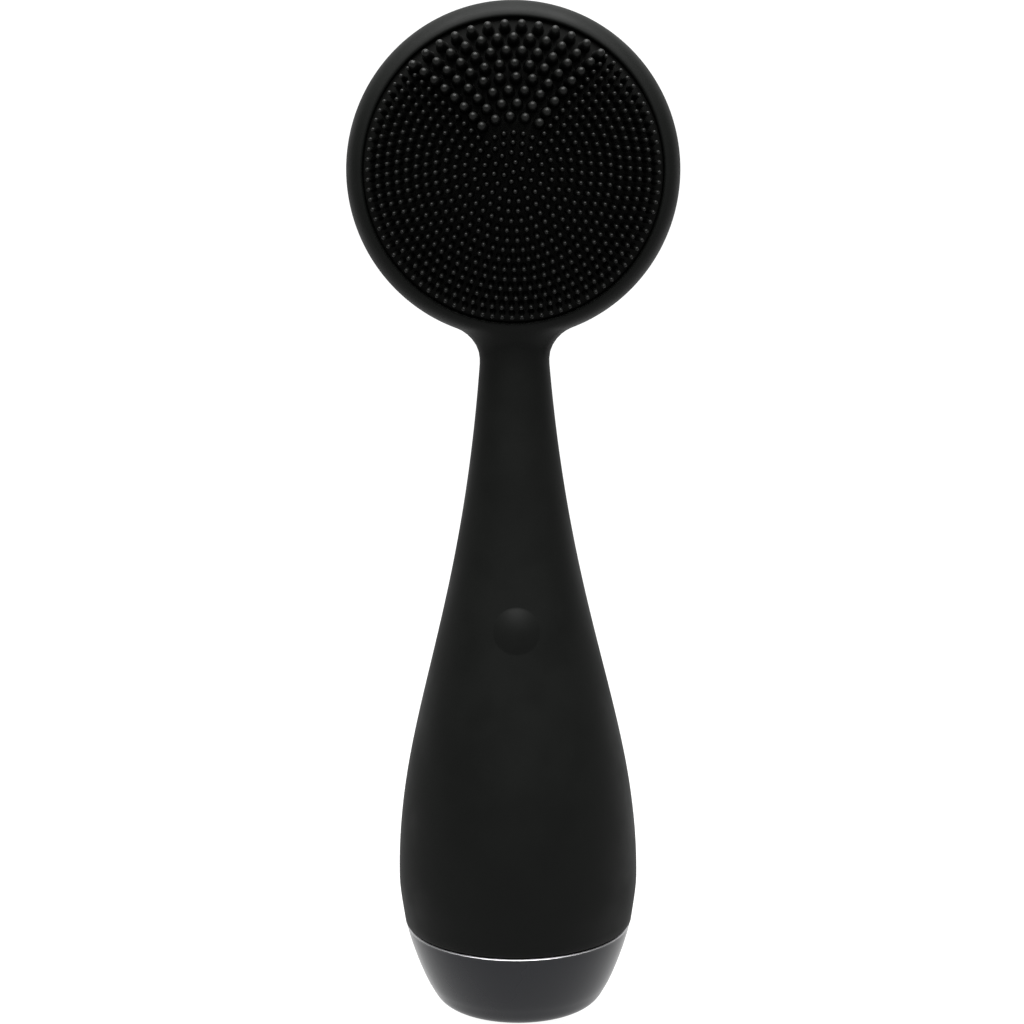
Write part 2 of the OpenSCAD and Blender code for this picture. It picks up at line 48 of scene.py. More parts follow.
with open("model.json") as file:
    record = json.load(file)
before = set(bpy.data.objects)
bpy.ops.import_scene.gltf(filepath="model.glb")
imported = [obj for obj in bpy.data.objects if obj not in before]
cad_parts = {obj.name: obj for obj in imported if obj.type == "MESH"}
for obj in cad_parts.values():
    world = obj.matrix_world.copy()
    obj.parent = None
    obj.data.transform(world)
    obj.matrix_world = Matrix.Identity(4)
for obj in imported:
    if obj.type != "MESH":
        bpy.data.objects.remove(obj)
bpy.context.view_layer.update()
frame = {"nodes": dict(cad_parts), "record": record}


def box_mm(node):
    low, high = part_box(node)
    return np.array(low) / MM, np.array(high) / MM


# ---------------------------------------------------------------- sizes
# The frame's boxes give them where they can.
SLEEVE_LOW, SLEEVE_HIGH = box_mm("silicone_sleeve")
PAD_LOW, PAD_HIGH = box_mm("brush_pad")
CAP_LOW, CAP_HIGH = box_mm("cap_shell")
CELL_LOW, CELL_HIGH = box_mm("battery_cell")

HEAD_R = 28.5
HEAD_Z = SLEEVE_HIGH[2] - HEAD_R
HEAD_FRONT = 7.6
HEAD_BACK = 11.0
HEAD_WIDEST = 0.5
BELLY_R = SLEEVE_HIGH[1]
BELLY_Z = 23.6
NECK_R = 6.06
NECK_BLEND = 6.8
SEAM_Z = SLEEVE_LOW[2]
SKIN_T = 1.5
SKIN_EDGE_R = BELLY_R - 1.0
NECK_Z = HEAD_Z - math.sqrt((HEAD_R + NECK_BLEND) ** 2 - (NECK_R + NECK_BLEND) ** 2)
NECK_RUN = 47.2
NECK_SLOPE = 0.082
BLEND_SIDE = 4.1
BLEND_BACK = 4.0
BLEND_FRONT = 1.6

PAD_R = (PAD_HIGH[0] - PAD_LOW[0]) / 2
PAD_RISE = 3.3
PAD_SEAT = HEAD_FRONT - 2.0
PAD_EDGE = HEAD_FRONT - 0.7
RECESS_R = PAD_R + 0.4
DOME_R = (PAD_R**2 + PAD_RISE**2) / (2 * PAD_RISE)
DOME_CENTRE = PAD_EDGE + PAD_RISE - DOME_R

BUTTON_PLACE = 0.596
BUTTON_R = 4.0
BUTTON_RISE = 0.85


# ---------------------------------------------------------------- mesh helpers
class Mesh:
    """Collects points and faces, and hands out point numbers as arrays."""

    def __init__(self):
        self.points = []
        self.faces = []
        self.count = 0

    def add(self, points):
        points = np.asarray(points, float)
        flat = points.reshape(-1, 3)
        numbers = np.arange(self.count, self.count + len(flat))
        self.points.append(flat)
        self.count += len(flat)
        return numbers.reshape(points.shape[:-1])

    def band(self, a, b, flip=False):
        """Quads between two closed loops of as many points."""
        quads = np.stack([a, np.roll(a, -1), np.roll(b, -1), b], 1)
        self.faces += (quads[:, ::-1] if flip else quads).tolist()

    def fan(self, loop, centre, flip=False):
        """Triangles from a closed loop to one point."""
        following = np.roll(loop, -1)
        for a, b in zip(loop, following):
            self.faces.append([b, a, centre] if flip else [a, b, centre])

    def lathe(self, loops, flip=False):
        """Bands between each loop and the next."""
        for a, b in zip(loops[:-1], loops[1:]):
            self.band(a, b, flip)

    def array(self):
        return np.concatenate(self.points)


def make_object(name, mesh, sharp_deg=40):
    """A Blender object from a Mesh in millimetres, smooth but for its sharp edges.

    Points that no face uses are left out.
    """
    points = mesh.array() * MM
    used = np.unique(np.concatenate([np.asarray(f) for f in mesh.faces]))
    renumber = np.full(len(points), -1)
    renumber[used] = np.arange(len(used))
    data = bpy.data.meshes.new(name)
    faces = [[int(renumber[i]) for i in f] for f in mesh.faces]
    data.from_pydata(points[used].tolist(), [], faces)
    data.validate()
    shell = bmesh.new()
    shell.from_mesh(data)
    bmesh.ops.recalc_face_normals(shell, faces=shell.faces)
    shell.to_mesh(data)
    shell.free()
    data.update()
    data.polygons.foreach_set("use_smooth", [True] * len(data.polygons))
    data.set_sharp_from_angle(angle=math.radians(sharp_deg))
    obj = bpy.data.objects.new(name, data)
    bpy.context.scene.collection.objects.link(obj)
    return obj


def circle_loop(radius, height, count):
    """Points of a level circle about Z."""
    a = np.arange(count) * 2 * math.pi / count
    return np.stack([radius * np.cos(a), radius * np.sin(a), np.full(count, height)], 1)


def lathe_mesh(outline, count):
    """Closed solid of revolution about Z.

    The outline runs from axis to axis, as (radius, height) rows.
    """
    mesh = Mesh()
    middle = [p for p in outline if p[0] > 1e-6]
    loops = [mesh.add(circle_loop(r, z, count)) for r, z in middle]
    first = mesh.add([[0, 0, outline[0][1]]])[0]
    last = mesh.add([[0, 0, outline[-1][1]]])[0]
    mesh.fan(loops[0], first, flip=True)
    mesh.lathe(loops)
    mesh.fan(loops[-1], last)
    return mesh


def bezier(p, t):
    t = np.asarray(t, float)[..., None]
    p = np.asarray(p, float)
    return ((1 - t) ** 3 * p[0] + 3 * (1 - t) ** 2 * t * p[1]
            + 3 * (1 - t) * t**2 * p[2] + t**3 * p[3])


def arc(centre, radius, start_deg, end_deg, steps):
    a = np.radians(np.linspace(start_deg, end_deg, steps + 1))
    return [(centre[0] + radius * math.cos(t), centre[1] + radius * math.sin(t)) for t in a]


def to_head(points):
    """From the head's own frame (x right, y up, z out of the bristle face) to the row frame."""
    p = np.asarray(points, float)
    return np.stack([p[..., 0], -p[..., 2], p[..., 1] + HEAD_Z], -1)


# ---------------------------------------------------------------- form of the skin
FOOT_CURVE = [(SKIN_EDGE_R, SEAM_Z), (SKIN_EDGE_R + 0.45, SEAM_Z + 3.25),
              (BELLY_R, BELLY_Z - 2.6), (BELLY_R, BELLY_Z)]
HANDLE_CURVE = [(BELLY_R, BELLY_Z), (BELLY_R, BELLY_Z + 29.2),
                (NECK_R + NECK_SLOPE * NECK_RUN, NECK_Z - NECK_RUN), (NECK_R, NECK_Z)]
HANDLE_TABLE = np.concatenate([bezier(FOOT_CURVE, np.linspace(0, 1, 60))[:-1],
                               bezier(HANDLE_CURVE, np.linspace(0, 1, 400)),
                               [(NECK_R, NECK_Z + 60)]])
HEAD_FRONT_CURVE = [(HEAD_R - 2.75, HEAD_FRONT), (HEAD_R - 0.9, HEAD_FRONT - 0.4),
                    (HEAD_R, HEAD_FRONT - 3.6), (HEAD_R, HEAD_WIDEST)]
HEAD_BACK_CURVE = [(HEAD_R, HEAD_WIDEST), (HEAD_R, -0.62 * HEAD_BACK),
                   (0.7 * HEAD_R, -HEAD_BACK), (0, -HEAD_BACK)]
HEAD_LINE = np.concatenate([bezier(HEAD_FRONT_CURVE, np.linspace(0, 1, 60))[:-1],
                            bezier(HEAD_BACK_CURVE, np.linspace(0, 1, 200))])


def handle_radius(z):
    return np.interp(z, HANDLE_TABLE[:, 1], HANDLE_TABLE[:, 0])


def handle_distance(p):
    """Signed distance to the handle, close to its surface."""
    rho = np.hypot(p[:, 0], p[:, 1])
    radius = handle_radius(p[:, 2])
    slope = handle_radius(p[:, 2] + 0.5) - handle_radius(p[:, 2] - 0.5)
    return (rho - radius) / np.sqrt(1 + slope**2)


def head_distance(p):
    """Signed distance to the head without its recess."""
    q = np.stack([np.hypot(p[:, 0], p[:, 2] - HEAD_Z), -p[:, 1]], 1)
    line = np.concatenate([[(0, HEAD_FRONT)], HEAD_LINE])
    start = line[:-1]
    run = line[1:] - start
    length2 = (run**2).sum(1)
    out = np.empty(len(q))
    for low in range(0, len(q), 4000):
        part = q[low:low + 4000, None, :]
        along = np.clip(((part - start) * run).sum(2) / length2, 0, 1)
        gap = part - (start + along[..., None] * run)
        d2 = (gap**2).sum(2)
        nearest = d2.argmin(1)
        rows = np.arange(len(nearest))
        side = (gap[rows, nearest, 0] * run[nearest, 1] - gap[rows, nearest, 1] * run[nearest, 0])
        out[low:low + 4000] = np.sqrt(d2[rows, nearest]) * np.where(side > 0, -1, 1)
    return out


def skin_distance(p):
    """Handle and head joined by a fillet that is wide at the sides and small at the front."""
    a = handle_distance(p)
    b = head_distance(p)
    rho = np.maximum(np.hypot(p[:, 0], p[:, 1]), 1e-6)
    side = (p[:, 0] / rho) ** 2
    across = np.where(p[:, 1] < 0, BLEND_FRONT, BLEND_BACK)
    k = BLEND_SIDE * side + across * (1 - side)
    corner = np.hypot(np.maximum(k - a, 0), np.maximum(k - b, 0))
    return np.maximum(k, np.minimum(a, b)) - corner


def gradient(field, p, step=0.05):
    g = np.empty_like(p)
    for i in range(3):
        nudge = np.zeros(3)
        nudge[i] = step
        g[:, i] = (field(p + nudge) - field(p - nudge)) / (2 * step)
    return g


def onto_surface(field, p, rounds=4):
    p = p.copy()
    for _ in range(rounds):
        g = gradient(field, p)
        p -= (field(p) / np.maximum((g**2).sum(1), 1e-6))[:, None] * g
    return p


def resample(line, steps):
    """Points evenly spaced along a line."""
    line = np.asarray(line, float)
    along = np.concatenate([[0], np.cumsum(np.hypot(*np.diff(line, axis=0).T))])
    s = np.linspace(0, along[-1], steps + 1)
    return np.stack([np.interp(s, along, line[:, i]) for i in range(2)], 1)


LIP_DEPTH = 0.45
BACK_START_R = 19.8
BLEND_REACH = 12
LEDGE_T = 0.12
LEDGE_W = 0.25
HEAD_SEGMENTS = 240
WINDOW_HALF = 24
LIP_CELLS = 6
WINDOW_CELLS = 32
BACK_CELLS = 44
RING_SEGMENTS = 4 * WINDOW_HALF + 2 * WINDOW_CELLS
HANDLE_TOP = 111.0
HANDLE_STEP = 1.3
PATCH_RINGS = 28
RIPPLE_H = 0.28
RIPPLE_PITCH = 3.2
RIPPLE_OUT = 19.2


def head_rows():
    """The head's outline from lip to back pole, in three stretches: lip, neck window and back."""
    front = HEAD_LINE[:, 1] > HEAD_FRONT - LIP_DEPTH
    back = (HEAD_LINE[:, 0] < BACK_START_R) & (HEAD_LINE[:, 1] < 0)
    lip = HEAD_LINE[front]
    window = HEAD_LINE[len(lip) - 1:np.argmax(back) + 1]
    rest = HEAD_LINE[np.argmax(back):]
    rows = [resample(lip, LIP_CELLS)[:-1], resample(window, WINDOW_CELLS)[:-1],
            resample(rest, BACK_CELLS)[:-1]]
    return np.concatenate(rows)


def head_grid(rows):
    """Points of the head: one row per outline point, angles counted from straight down."""
    a = (np.arange(HEAD_SEGMENTS) - WINDOW_HALF) * 2 * math.pi / HEAD_SEGMENTS
    x = rows[:, :1] * np.sin(a)
    y = rows[:, :1] * -np.cos(a)
    z = np.repeat(rows[:, 1:], HEAD_SEGMENTS, 1)
    return to_head(np.stack([x, y, z], -1))


def window_loop(grid_numbers):
    """The window's rim in the head's grid, from its front corner on the -X side."""
    low, high = LIP_CELLS, LIP_CELLS + WINDOW_CELLS
    wide = 2 * WINDOW_HALF
    return np.concatenate([grid_numbers[low, :wide], grid_numbers[low:high, wide],
                           grid_numbers[high, wide:0:-1], grid_numbers[high:low:-1, 0]])


def ring_angles():
    """Angles of the handle's rings, so that their points line up with the window's rim."""
    step = 2 * math.pi / RING_SEGMENTS
    first = -math.pi / 2 - WINDOW_HALF * step
    return first + np.arange(RING_SEGMENTS) * step


def ring_points(radius, z):
    a = ring_angles()
    return np.stack([radius * np.cos(a), radius * np.sin(a), np.full(len(a), z)], 1)


def relax(loops, rounds=40):
    """Evens out the rings between two fixed rims and keeps them on the surface."""
    for step in range(rounds):
        inner = loops[1:-1]
        mean = (loops[:-2] + loops[2:] + np.roll(inner, 1, 1) + np.roll(inner, -1, 1)) / 4
        loops[1:-1] = inner + 0.6 * (mean - inner)
        if step % 5 == 4:
            flat = loops[1:-1].reshape(-1, 3)
            loops[1:-1] = onto_surface(skin_distance, flat, 2).reshape(inner.shape)
    return loops


def build_skin():
    """The sleeve: handle rings, a patch up to the head's grid, and the lip round the pad."""
    mesh = Mesh()
    edge_round = 0.35
    levels = np.arange(SEAM_Z + edge_round, HANDLE_TOP, HANDLE_STEP)
    rings = [mesh.add(ring_points(float(handle_radius(z)), z)) for z in levels]

    rows = head_rows()
    grid = head_grid(rows)
    flat = grid.reshape(-1, 3)
    near = (flat[:, 2] < HEAD_Z - BLEND_REACH) & (np.abs(skin_distance(flat)) > 1e-4)
    flat[near] = onto_surface(skin_distance, flat[near])
    numbers = mesh.add(flat.reshape(grid.shape))
    pole = mesh.add(to_head([[0, 0, -HEAD_BACK]]))[0]

    loop = window_loop(numbers)
    start = mesh.array()[rings[-1]]
    end = mesh.array()[loop]
    share = np.linspace(0, 1, PATCH_RINGS + 2)[:, None, None]
    patch = relax(start * (1 - share) + end * share)
    patch_numbers = [mesh.add(p) for p in patch[1:-1]]

    mesh.lathe(rings + patch_numbers + [loop])
    low, high = LIP_CELLS, LIP_CELLS + WINDOW_CELLS
    for j in range(len(rows) - 1):
        for i in range(HEAD_SEGMENTS):
            if low <= j < high and i < 2 * WINDOW_HALF:
                continue
            k = (i + 1) % HEAD_SEGMENTS
            mesh.faces.append([numbers[j, i], numbers[j, k], numbers[j + 1, k], numbers[j + 1, i]])
    mesh.fan(numbers[-1], pole)

    outer_faces = list(mesh.faces)
    outer = mesh.array()
    normal = gradient(skin_distance, outer)
    normal /= np.linalg.norm(normal, axis=1)[:, None]
    inner = mesh.add(outer - SKIN_T * normal)
    mesh.faces += [[int(inner[i]) for i in face[::-1]] for face in outer_faces]

    radius = np.hypot(outer[:, 0], outer[:, 2] - HEAD_Z)
    back = (outer[:, 1] > 5) & (outer[:, 2] > HEAD_Z - HEAD_R)
    fade = np.clip((RIPPLE_OUT - radius) / 1.5, 0, 1)
    ripple = RIPPLE_H * (0.5 - 0.5 * np.cos(2 * math.pi * radius / RIPPLE_PITCH)) * fade * back
    mesh.points = [outer + ripple[:, None] * normal, mesh.points[-1]]

    bottom_r = float(handle_radius(SEAM_Z))
    turn = [mesh.add(ring_points(r, z)) for r, z in
            arc((bottom_r - edge_round, SEAM_Z + edge_round), edge_round, -90, 0, 4)[:-1]]
    inner_edge = mesh.add(ring_points(bottom_r - SKIN_T, SEAM_Z))
    mesh.lathe([inner[rings[0]], inner_edge] + turn + [rings[0]])

    lip_start = rows[0]
    lip_round = float(lip_start[0] - RECESS_R)
    fillet = arc((lip_start[0], HEAD_FRONT - lip_round), lip_round, 90, 180, 6)[1:]
    ledge_r = PAD_R - LEDGE_W
    ledge = [(RECESS_R, PAD_SEAT), (ledge_r, PAD_SEAT), (ledge_r, PAD_SEAT - LEDGE_T),
             (RECESS_R, PAD_SEAT - LEDGE_T)]
    lip_rows = np.array(fillet + ledge)
    lip_loops = list(mesh.add(head_grid(lip_rows)))
    mesh.lathe([numbers[0]] + lip_loops + [inner[numbers[0]]], flip=True)
    return make_object("silicone_skin", mesh)


# ---------------------------------------------------------------- button membrane
def button_frame():
    """Centre of the button on the skin, its outward normal and the direction up the slope."""
    at = bezier(HANDLE_CURVE, BUTTON_PLACE)
    ahead = bezier(HANDLE_CURVE, BUTTON_PLACE + 0.01) - at
    tilt = math.atan2(-ahead[0], ahead[1])
    centre = np.array([0, -at[0], at[1]])
    normal = np.array([0, -math.cos(tilt), math.sin(tilt)])
    up = np.array([0, math.sin(tilt), math.cos(tilt)])
    return centre, normal, up


def build_button():
    """A soft dome that swells out of the skin, with the plunger behind it."""
    centre, normal, up = button_frame()
    across = np.array([1.0, 0, 0])
    segments, steps = 96, 34
    reach = 1.32 * BUTTON_R
    soft = 0.1
    sink = 0.035
    skirt = 0.25
    root = 0.9
    mesh = Mesh()
    loops = []
    for radius in np.linspace(reach / steps, reach, steps):
        a = np.arange(segments) * 2 * math.pi / segments
        p = centre + radius * (np.cos(a)[:, None] * across + np.sin(a)[:, None] * up)
        for _ in range(6):
            p = p - handle_distance(p)[:, None] * normal
        rise = BUTTON_RISE * (1 - (radius / BUTTON_R) ** 2)
        height = (rise + math.hypot(rise, soft)) / 2 - sink
        loops.append(mesh.add(p + height * normal))
    top = mesh.add([centre + (BUTTON_RISE - sink) * normal])[0]
    under = [mesh.add(mesh.array()[loops[-1]] - skirt * normal)]
    base = mesh.add([centre - root * normal])[0]
    mesh.fan(loops[0], top, flip=True)
    mesh.lathe(loops + under, flip=True)
    mesh.fan(under[0], base)
    return make_object("button_membrane", mesh, 60)


# ---------------------------------------------------------------- bristle pad
RING_COUNT = 15
RING_PITCH = 1.575
WHOLE_RINGS = 4
FINE_PER_RING = 6.22
FAN_CENTRE = 93.0
FAN_GAP_HALF = 42.5
FAN_FIRST_R = 8.9
FAN_ROW_PITCH = 2.085
FAN_COUNTS = [5, 6, 7, 8, 10, 11, 12, 13]
FAN_FIRST_HALF = 31.5
FAN_LAST_HALF = 40.0
BURIED = 0.35
FINE = {"length": 3.0, "root": 0.46, "tip": 0.36, "sides": 10}
THICK = {"length": 3.4, "root": 0.86, "tip": 0.72, "sides": 18}


def bristle_rings():
    """(radius, angle in degrees, kind) of every bristle, by radius on the dome."""
    places = [(0.0, 0.0, FINE)]
    for ring in range(1, RING_COUNT + 1):
        whole = ring <= WHOLE_RINGS
        sweep = 360 if whole else 360 - 2 * FAN_GAP_HALF
        count = round(FINE_PER_RING * ring * sweep / 360)
        start = ring * 137.5 if whole else FAN_CENTRE + FAN_GAP_HALF
        for angle in np.linspace(start, start + sweep, count, endpoint=not whole):
            places.append((ring * RING_PITCH, angle, FINE))
    rows = len(FAN_COUNTS)
    for row, count in enumerate(FAN_COUNTS):
        half = FAN_FIRST_HALF + (FAN_LAST_HALF - FAN_FIRST_HALF) * row / (rows - 1)
        for angle in np.linspace(FAN_CENTRE - half, FAN_CENTRE + half, count):
            places.append((FAN_FIRST_R + row * FAN_ROW_PITCH, angle, THICK))
    return places


def bristle_outline(kind):
    """Outline of a bristle from its buried root to its round tip, as (radius, height)."""
    length, root, tip = kind["length"], kind["root"], kind["tip"]
    flare = 0.3 * root
    outline = [(root + flare, -BURIED), (root + flare, -0.02), (root + 0.3 * flare, 0.12),
               (root, 0.4)]
    outline += arc((0, length - tip), tip, 0, 90, 5)[:-1]
    return outline


def build_pad():
    """The domed pad with every bristle standing along the dome's normal."""
    mesh = Mesh()
    edge = 0.2
    rim = RECESS_R - 0.05
    dome = [(r, DOME_CENTRE + math.sqrt(DOME_R**2 - r**2)) for r in np.linspace(0, rim - edge, 40)]
    side = arc((rim - edge, dome[-1][1] - edge), edge, 80, 0, 4)
    outline = dome + side + [(rim, PAD_SEAT + 0.05), (0, PAD_SEAT + 0.05)]
    base = lathe_mesh(outline[::-1], 192)
    mesh.add(to_head(base.array()))
    mesh.faces += base.faces
    base_faces = len(base.faces)
    for radius, angle, kind in bristle_rings():
        outline = [(0, -BURIED)] + bristle_outline(kind) + [(0, kind["length"])]
        bristle = lathe_mesh(outline, kind["sides"])
        p = bristle.array()
        lean = math.asin(radius / DOME_R)
        turn = math.radians(angle)
        out = p[:, 0] * math.cos(lean) + (p[:, 2] + DOME_R) * math.sin(lean)
        depth = -p[:, 0] * math.sin(lean) + (p[:, 2] + DOME_R) * math.cos(lean)
        x = out * math.cos(turn) - p[:, 1] * math.sin(turn)
        y = out * math.sin(turn) + p[:, 1] * math.cos(turn)
        first = mesh.count
        mesh.add(to_head(np.stack([x, y, depth + DOME_CENTRE], 1)))
        mesh.faces += [[i + first for i in f] for f in bristle.faces]
    pad = make_object("bristle_pad", mesh, 50)
    # the pad's floor takes the darker material, painted shade between the bristles
    pad.data.materials.append(shaded_pad_base_material)
    pad.data.materials.append(bristle_material)
    for face in list(pad.data.polygons)[base_faces:]:
        face.material_index = 1
    return pad


# ---------------------------------------------------------------- lower cap
def build_cap():
    """The glossy foot cap, with a flat foot, a rounded edge, a flaring side and a fine bevel."""
    cap_r = (CAP_HIGH[0] - CAP_LOW[0]) / 2
    top = CAP_HIGH[2]
    foot_r = 11.5
    edge_h = 0.22
    edge_w = 0.16
    cavity_r = 14.03
    cavity_floor = 2.4
    round_top = np.array((16.2, 3.4))
    lean = np.array((0.5, 0.866))
    foot = bezier([(foot_r, 0), (foot_r + 3.2, 0), round_top - 2.3 * lean, round_top],
                  np.linspace(0, 1, 24))
    side = bezier([round_top, round_top + 2.3 * lean, (cap_r - 0.7, top - 3.45),
                   (cap_r - 0.04, top - edge_h)], np.linspace(0, 1, 28))
    outline = [(0, 0)] + [(r, 0) for r in np.linspace(2, foot_r - 0.5, 6)]
    outline += [tuple(p) for p in foot] + [tuple(p) for p in side[1:-1]]
    outline += [(cap_r - 0.04, top - edge_h), (cap_r, top - edge_h + 0.05),
                (cap_r - edge_w, top - 0.03), (cap_r - edge_w - 0.04, top)]
    outline += [(cavity_r + 0.2, top), (cavity_r, top - 0.2), (cavity_r, cavity_floor),
                (0, cavity_floor)]
    return make_object("foot_cap", lathe_mesh(outline, 256), 35)


# ---------------------------------------------------------------- materials
# Sockets of a Mix node that is set to colour
MIX_FACTOR, MIX_A, MIX_B, MIX_RESULT = 0, 6, 7, 2


def material(name):
    m = bpy.data.materials.new(name)
    m.use_nodes = True
    nodes = m.node_tree.nodes
    return m, nodes, m.node_tree.links, nodes["Principled BSDF"]


def noise_of(nodes, links, scale, detail=3.0):
    where = nodes.new("ShaderNodeTexCoord")
    noise = nodes.new("ShaderNodeTexNoise")
    noise.inputs["Scale"].default_value = scale
    noise.inputs["Detail"].default_value = detail
    noise.inputs["Roughness"].default_value = 0.5
    links.new(where.outputs["Object"], noise.inputs["Vector"])
    return noise


def ramp_of(nodes, links, source, low, high):
    ramp = nodes.new("ShaderNodeValToRGB")
    ramp.color_ramp.interpolation = "EASE"
    ramp.color_ramp.elements[0].position = 0.3
    ramp.color_ramp.elements[1].position = 0.7
    ramp.color_ramp.elements[0].color = (*low, 1)
    ramp.color_ramp.elements[1].color = (*high, 1)
    links.new(source, ramp.inputs["Fac"])
    return ramp


def surface(name, colour, roughness, spread=0.12, rough_spread=0.06, mottle=90, grain=2500,
            grain_height=0.00001, metallic=0.0, coat=0.0, specular=0.5):
    """A moulded or metal surface: mottled colour, uneven roughness and a fine grain."""
    m, nodes, links, shader = material(name)
    colour = np.array(colour)
    cloud = noise_of(nodes, links, mottle)
    tone = ramp_of(nodes, links, cloud.outputs["Fac"], colour * (1 - spread), colour * (1 + spread))
    links.new(tone.outputs["Color"], shader.inputs["Base Color"])
    low, high = roughness - rough_spread, roughness + rough_spread
    polish = ramp_of(nodes, links, cloud.outputs["Fac"], (low,) * 3, (high,) * 3)
    links.new(polish.outputs["Color"], shader.inputs["Roughness"])
    fine = noise_of(nodes, links, grain, 2.0)
    bump = nodes.new("ShaderNodeBump")
    bump.inputs["Distance"].default_value = grain_height
    links.new(fine.outputs["Fac"], bump.inputs["Height"])
    links.new(bump.outputs["Normal"], shader.inputs["Normal"])
    shader.inputs["Metallic"].default_value = metallic
    shader.inputs["Specular IOR Level"].default_value = specular
    shader.inputs["Coat Weight"].default_value = coat
    shader.inputs["Coat Roughness"].default_value = 0.04
    return m


def paint_bristle_root_shade(m):
    """Paints shade on the bristles: darker towards their roots, where less light gets in between
    them.
    """
    nodes, links = m.node_tree.nodes, m.node_tree.links
    shader = nodes["Principled BSDF"]
    tone = shader.inputs["Base Color"].links[0].from_socket
    where = nodes.new("ShaderNodeTexCoord")
    reach = nodes.new("ShaderNodeVectorMath")
    reach.operation = "DISTANCE"
    reach.inputs[1].default_value = (0, -DOME_CENTRE * MM, HEAD_Z * MM)
    links.new(where.outputs["Object"], reach.inputs[0])
    # painted shade: colour scaled from 0.3 at the roots up to 1 towards the tips
    depth = nodes.new("ShaderNodeMapRange")
    depth.interpolation_type = "SMOOTHSTEP"
    depth.inputs["From Min"].default_value = (DOME_R + 1.3) * MM
    depth.inputs["From Max"].default_value = (DOME_R + 3.2) * MM
    depth.inputs["To Min"].default_value = 0.3
    depth.inputs["To Max"].default_value = 1.0
    links.new(reach.outputs["Value"], depth.inputs["Value"])
    mixed = nodes.new("ShaderNodeMix")
    mixed.data_type = "RGBA"
    mixed.inputs[MIX_A].default_value = (0, 0, 0, 1)
    links.new(depth.outputs["Result"], mixed.inputs[MIX_FACTOR])
    links.new(tone, mixed.inputs[MIX_B])
    links.new(mixed.outputs[MIX_RESULT], shader.inputs["Base Color"])


def metal_outside(m, low, high, tone, roughness):
    """Turns what is below or above two heights to bare metal, as a cell's ends or a turned edge."""
    nodes, links = m.node_tree.nodes, m.node_tree.links
    shader = nodes["Principled BSDF"]
    where = nodes.new("ShaderNodeTexCoord")
    split = nodes.new("ShaderNodeSeparateXYZ")
    links.new(where.outputs["Object"], split.inputs[0])
    below = nodes.new("ShaderNodeMath")
    below.operation = "LESS_THAN"
    below.inputs[1].default_value = low * MM
    above = nodes.new("ShaderNodeMath")
    above.operation = "GREATER_THAN"
    above.inputs[1].default_value = high * MM
    mask = nodes.new("ShaderNodeMath")
    mask.operation = "MAXIMUM"
    for i, side in enumerate((below, above)):
        links.new(split.outputs["Z"], side.inputs[0])
        links.new(side.outputs[0], mask.inputs[i])
    links.new(mask.outputs[0], shader.inputs["Metallic"])
    for socket, value in (("Base Color", (*tone, 1)), ("Roughness", (roughness,) * 3 + (1,))):
        mixed = nodes.new("ShaderNodeMix")
        mixed.data_type = "RGBA"
        links.new(mask.outputs[0], mixed.inputs[MIX_FACTOR])
        links.new(shader.inputs[socket].links[0].from_socket, mixed.inputs[MIX_A])
        mixed.inputs[MIX_B].default_value = value
        links.new(mixed.outputs[MIX_RESULT], shader.inputs[socket])


def dress(obj, slot_material):
    obj.data.materials.clear()
    obj.data.materials.append(slot_material)


# ---------------------------------------------------------------- scene
def build_stage():
    """A pale sweep of floor and backdrop, low enough for the unscrewed cap to stay above it."""
    mesh = Mesh()
    half, back, height, turn, floor_z = 1500.0, 900.0, 1200.0, 300.0, -9.5
    profile = [(-half, floor_z)]
    profile += arc((back - turn, turn + floor_z), turn, -90, 0, 24)
    profile += [(back, height)]
    rows = mesh.add([[(-half, y, z), (half, y, z)] for y, z in profile])
    for a, b in zip(rows[:-1], rows[1:]):
        mesh.faces.append([a[0], a[1], b[1], b[0]])
    return make_object("studio_floor", mesh, 80)


def area_light(name, location, target, size, power):
    data = bpy.data.lights.new(name, "AREA")
    data.shape = "RECTANGLE"
    data.size, data.size_y = size
    data.energy = power
    obj = bpy.data.objects.new(name, data)
    obj.location = location
    aim = np.array(target) - np.array(location)
    obj.rotation_mode = "QUATERNION"
    obj.rotation_quaternion = Vector(aim).to_track_quat("-Z", "Y")
    bpy.context.scene.collection.objects.link(obj)
    return obj


def build_camera():
    distance, height, side = 0.373, 0.15365, -0.00063
    pitch, roll, lens = 9.765, -0.41, 75.755
    data = bpy.data.cameras.new("camera")
    data.lens = lens
    data.sensor_width = 36.0
    data.clip_start = 0.01
    obj = bpy.data.objects.new("camera", data)
    obj.location = (side, -distance, height)
    obj.rotation_mode = "QUATERNION"
    level = Quaternion((1, 0, 0), math.radians(90 - pitch))
    obj.rotation_quaternion = level @ Quaternion((0, 0, 1), math.radians(roll))
    bpy.context.scene.collection.objects.link(obj)
    bpy.context.scene.camera = obj


build_camera()

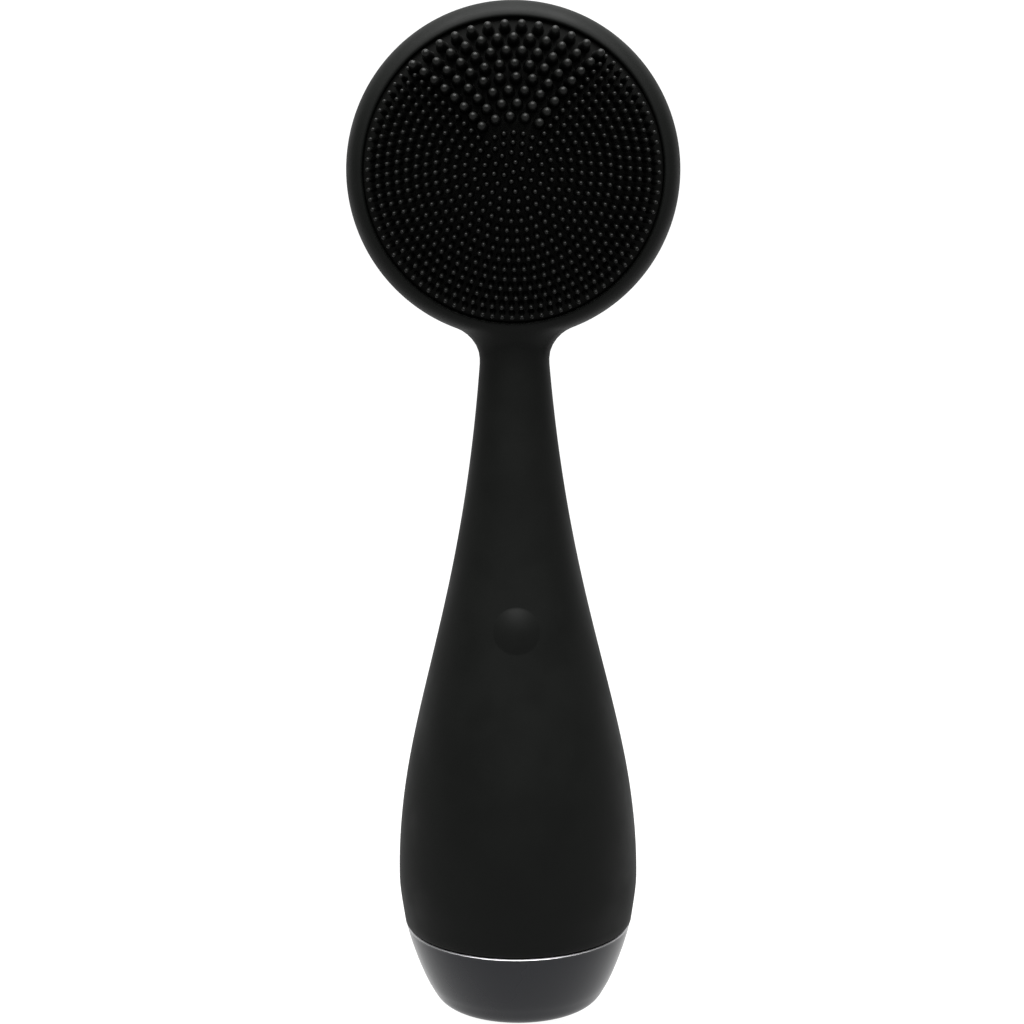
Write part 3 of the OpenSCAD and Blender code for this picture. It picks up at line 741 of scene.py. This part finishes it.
skin_material = surface("skin_silicone", (0.0025, 0.0028, 0.0025), 0.58, specular=0.064)
# The pad's floor is the bristles' silicone made darker: painted shade between the bristles.
shaded_pad_base_material = surface("pad_base", (0.0014, 0.0015, 0.0013), 0.6, specular=0.045)
bristle_material = surface("pad_bristles", (0.0038, 0.004, 0.0037), 0.42, specular=0.1)
# painted shade: the bristles' colour darkens towards their roots
paint_bristle_root_shade(bristle_material)
gloss_material = surface("cap_gloss", (0.008, 0.0085, 0.0105), 0.27, 0.05, 0.03, 40, 800, 0.000003,
                         specular=0.2)
metal_outside(gloss_material, CAP_LOW[2] - 1, CAP_HIGH[2] - 0.19, (0.5, 0.5, 0.51), 0.4)
cell_material = surface("cell_wrap", (0.5, 0.28, 0.09), 0.22, coat=0.5)
metal_outside(cell_material, CELL_LOW[2] + 0.5, CELL_HIGH[2] - 1.6, (0.62, 0.62, 0.63), 0.3)
SLOT_MATERIALS = {
    "skin": skin_material,
    "pad": bristle_material,
    "cap_gloss": gloss_material,
    "white_plastic": surface("white_plastic", (0.72, 0.73, 0.73), 0.45),
    "grey_plastic": surface("grey_plastic", (0.16, 0.16, 0.17), 0.45),
    "steel": surface("steel", (0.6, 0.6, 0.62), 0.28, metallic=1.0),
    "contact_metal": surface("contact_metal", (0.78, 0.7, 0.5), 0.25, metallic=1.0),
    "board": surface("board_green", (0.02, 0.14, 0.06), 0.35, coat=0.3),
    "black_plastic": surface("black_plastic", (0.02, 0.02, 0.02), 0.4),
    "red_plastic": surface("red_plastic", (0.4, 0.02, 0.015), 0.4),
    "ceramic": surface("ceramic", (0.45, 0.32, 0.2), 0.5),
    "cell_wrap": cell_material,
    "magnet": surface("magnet", (0.08, 0.08, 0.09), 0.6),
    "weight": surface("weight", (0.25, 0.25, 0.27), 0.4, metallic=1.0),
    "copper": surface("copper", (0.6, 0.27, 0.12), 0.3, metallic=1.0),
    "boot_rubber": surface("boot_rubber", (0.05, 0.05, 0.055), 0.6),
    "seal_rubber": surface("seal_rubber", (0.3, 0.03, 0.02), 0.45),
}
node_slots = {s["node"]: s["material_slot"] for s in frame["record"]["subparts"]}
for node, obj in frame["nodes"].items():
    dress(obj, SLOT_MATERIALS[node_slots[node]])

skin = build_skin()
dress(skin, skin_material)
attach(skin, "housing")
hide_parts("silicone_sleeve")

button = build_button()
dress(button, skin_material)
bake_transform(button)
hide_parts("button_cap")

pad = build_pad()
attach(pad, "housing")
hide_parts("brush_pad")

cap = build_cap()
dress(cap, gloss_material)
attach(cap, "cap")
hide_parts("cap_shell")

floor = build_stage()
floor_material, _, _, floor_shader = material("studio_white")
floor_shader.inputs["Base Color"].default_value = (0.12, 0.12, 0.12, 1)
floor_shader.inputs["Roughness"].default_value = 0.9
floor_shader.inputs["Emission Color"].default_value = (1, 1, 1, 1)
floor_shader.inputs["Emission Strength"].default_value = 0.94
dress(floor, floor_material)

area_light("top_light", (0, -0.22, 0.6), (0, 0, 0.12), (0.6, 0.35), 12.5)
area_light("crown_light", (0, 0.03, 0.42), (0, 0, 0.15), (0.24, 0.1), 1.4)

world = bpy.data.worlds.new("studio")
world.use_nodes = True
world.node_tree.nodes["Background"].inputs["Color"].default_value = (1, 1, 1, 1)
world.node_tree.nodes["Background"].inputs["Strength"].default_value = 0.35
bpy.context.scene.world = world
bpy.context.scene.view_settings.view_transform = "Standard"
